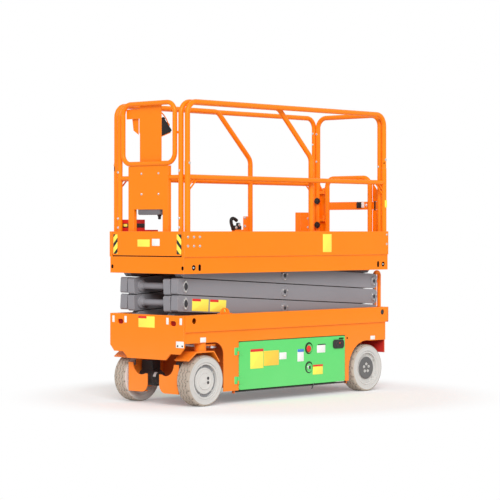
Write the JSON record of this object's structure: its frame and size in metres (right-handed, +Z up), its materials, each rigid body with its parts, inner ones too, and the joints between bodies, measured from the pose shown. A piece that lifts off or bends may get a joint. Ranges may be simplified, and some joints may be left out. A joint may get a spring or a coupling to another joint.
{
  "type": "scissor lift",
  "caption": "Electric slab scissor lift: wheeled chassis with swing-out trays, stacked scissor arms with a lift cylinder, and a railed platform with a sliding extension and entry gate.",
  "frame": {"origin": "on the ground under the middle of the machine", "axes": "+X towards the steered front end, +Y to the left side, +Z up"},
  "size_m": [2.48, 0.81, 2.2918],
  "materials": {
    "orange": "gloss powder coat",
    "orange_dark": "satin powder coat",
    "arm_grey": "satin paint",
    "door_green": "gloss paint",
    "tyre": "solid non-marking rubber",
    "rim": "satin paint",
    "steel": "bright",
    "black_paint": "satin paint",
    "black_plastic": "moulded",
    "red_plastic": "moulded"
  },
  "bodies": {
    "chassis": {"chassis_frame": "orange_dark", "chassis_spine": "orange_dark", "side_panel_left": "orange", "side_panel_right": "orange", "front_plate": "orange", "rear_plate": "orange_dark", "entry_ladder": "orange", "rear_axles": "orange_dark", "tie_down_lugs": "orange"},
    "pothole_left": {"pothole_guard_left": "black_paint"},
    "pothole_right": {"pothole_guard_right": "black_paint"},
    "steer_left": {"yoke_left": "orange", "drive_motor_left": "black_paint"},
    "steer_right": {"yoke_right": "orange", "drive_motor_right": "black_paint"},
    "tie_rod": {"tie_rod": "steel"},
    "wheel_front_left": {"tyre_front_left": "tyre", "rim_front_left": "rim"},
    "wheel_front_right": {"tyre_front_right": "tyre", "rim_front_right": "rim"},
    "wheel_rear_left": {"tyre_rear_left": "tyre", "rim_rear_left": "rim"},
    "wheel_rear_right": {"tyre_rear_right": "tyre", "rim_rear_right": "rim"},
    "door_left": {"door_left": "door_green", "tray_left": "black_paint", "battery_block": "black_paint"},
    "door_right": {"door_right": "door_green", "tray_right": "black_paint", "pump_block": "black_paint"},
    "outer_1": {"outer_arms_1": "arm_grey"},
    "inner_1": {"inner_arms_1": "arm_grey", "lower_rollers": "black_plastic"},
    "outer_2": {"outer_arms_2": "arm_grey"},
    "inner_2": {"inner_arms_2": "arm_grey"},
    "outer_3": {"outer_arms_3": "arm_grey", "upper_rollers": "black_plastic"},
    "inner_3": {"inner_arms_3": "arm_grey"},
    "lift_barrel": {"lift_barrel": "black_paint"},
    "lift_rod": {"lift_rod": "steel"},
    "platform": {"platform_frame": "orange_dark", "deck": "orange_dark", "skirt": "orange", "main_rail_left": "orange", "main_rail_right": "orange", "rear_rail": "orange", "document_box": "orange"},
    "gate": {"gate": "orange"},
    "extension": {"extension_deck": "orange", "extension_rails": "orange", "front_loop": "orange", "front_panel": "orange", "controller": "black_plastic", "red_box": "red_plastic", "deck_lever": "black_plastic"}
  },
  "joints": [
    {"name": "steer_left", "type": "hinge", "parent": "chassis", "child": "steer_left", "pos_m": [1.01, 0.3415, 0.45], "axis": [0, 0, 1], "range_deg": [-80, 80]},
    {"name": "steer_right", "type": "hinge", "parent": "chassis", "child": "steer_right", "pos_m": [1.01, -0.3415, 0.45], "axis": [0, 0, 1], "range_deg": [-80, 80]},
    {"name": "tie_rod_swing", "type": "hinge", "parent": "steer_left", "child": "tie_rod", "pos_m": [0.89, 0.3415, 0.44], "axis": [0, 0, 1], "range_deg": [-80, 80]},
    {"name": "spin_front_left", "type": "hinge", "parent": "steer_left", "child": "wheel_front_left", "pos_m": [1.01, 0.3415, 0.1905], "axis": [0, 1, 0], "continuous": true},
    {"name": "spin_front_right", "type": "hinge", "parent": "steer_right", "child": "wheel_front_right", "pos_m": [1.01, -0.3415, 0.1905], "axis": [0, 1, 0], "continuous": true},
    {"name": "spin_rear_left", "type": "hinge", "parent": "chassis", "child": "wheel_rear_left", "pos_m": [-0.88, 0.3415, 0.1905], "axis": [0, 1, 0], "continuous": true},
    {"name": "spin_rear_right", "type": "hinge", "parent": "chassis", "child": "wheel_rear_right", "pos_m": [-0.88, -0.3415, 0.1905], "axis": [0, 1, 0], "continuous": true},
    {"name": "door_left_swing", "type": "hinge", "parent": "chassis", "child": "door_left", "pos_m": [0.65507, 0.3988, 0.28], "axis": [0, 0, -1], "range_deg": [0, 90]},
    {"name": "door_right_swing", "type": "hinge", "parent": "chassis", "child": "door_right", "pos_m": [0.65507, -0.3988, 0.28], "axis": [0, 0, 1], "range_deg": [0, 90]},
    {"name": "pothole_left_drop", "type": "hinge", "parent": "chassis", "child": "pothole_left", "pos_m": [0, 0.373, 0.088], "axis": [1, 0, 0], "range_deg": [0, 85]},
    {"name": "pothole_right_drop", "type": "hinge", "parent": "chassis", "child": "pothole_right", "pos_m": [0, -0.373, 0.088], "axis": [-1, 0, 0], "range_deg": [0, 85]},
    {"name": "lift", "type": "hinge", "parent": "chassis", "child": "outer_1", "pos_m": [-1.0727, 0, 0.6415], "axis": [0, -1, 0], "range_deg": [0, 48.6]},
    {"name": "inner_1_turn", "type": "hinge", "parent": "outer_1", "child": "inner_1", "pos_m": [0.03145, 0, 0.70515], "axis": [0, 1, 0], "range_deg": [0, 97.2]},
    {"name": "outer_2_turn", "type": "hinge", "parent": "inner_1", "child": "outer_2", "pos_m": [-1.0727, 0, 0.7688], "axis": [0, -1, 0], "range_deg": [0, 97.2]},
    {"name": "inner_2_turn", "type": "hinge", "parent": "outer_2", "child": "inner_2", "pos_m": [0.03145, 0, 0.83245], "axis": [0, 1, 0], "range_deg": [0, 97.2]},
    {"name": "outer_3_turn", "type": "hinge", "parent": "inner_2", "child": "outer_3", "pos_m": [-1.0727, 0, 0.8961], "axis": [0, -1, 0], "range_deg": [0, 97.2]},
    {"name": "inner_3_turn", "type": "hinge", "parent": "outer_3", "child": "inner_3", "pos_m": [0.03145, 0, 0.95975], "axis": [0, 1, 0], "range_deg": [0, 97.2]},
    {"name": "platform_level", "type": "hinge", "parent": "inner_3", "child": "platform", "pos_m": [-1.0727, 0, 1.0234], "axis": [0, -1, 0], "range_deg": [0, 48.6]},
    {"name": "lift_barrel_turn", "type": "hinge", "parent": "inner_1", "child": "lift_barrel", "pos_m": [-0.59523, 0, 0.71123], "axis": [0, -1, 0], "range_deg": [0, 100]},
    {"name": "lift_rod_slide", "type": "slide", "parent": "lift_barrel", "child": "lift_rod", "axis": [0.9897, 0, 0.1431], "range_m": [0, 0.2831]},
    {"name": "extension_slide", "type": "slide", "parent": "platform", "child": "extension", "axis": [1, 0, 0], "range_m": [0, 0.9]},
    {"name": "gate_swing", "type": "hinge", "parent": "platform", "child": "gate", "pos_m": [-1.118, -0.274, 1.45], "axis": [0, 0, -1], "range_deg": [0, 90]}
  ],
  "couplings": [
    {"joint": "steer_right", "follows": "steer_left", "ratio": 1},
    {"joint": "tie_rod_swing", "follows": "steer_left", "ratio": -1},
    {"joint": "inner_1_turn", "follows": "lift", "ratio": 2},
    {"joint": "outer_2_turn", "follows": "lift", "ratio": 2},
    {"joint": "inner_2_turn", "follows": "lift", "ratio": 2},
    {"joint": "outer_3_turn", "follows": "lift", "ratio": 2},
    {"joint": "inner_3_turn", "follows": "lift", "ratio": 2},
    {"joint": "platform_level", "follows": "lift", "ratio": 1},
    {"joint": "lift_barrel_turn", "follows": "lift", "ratio": 2.0556},
    {"joint": "lift_rod_slide", "follows": "lift", "m_per_rad": 0.33263}
  ]
}
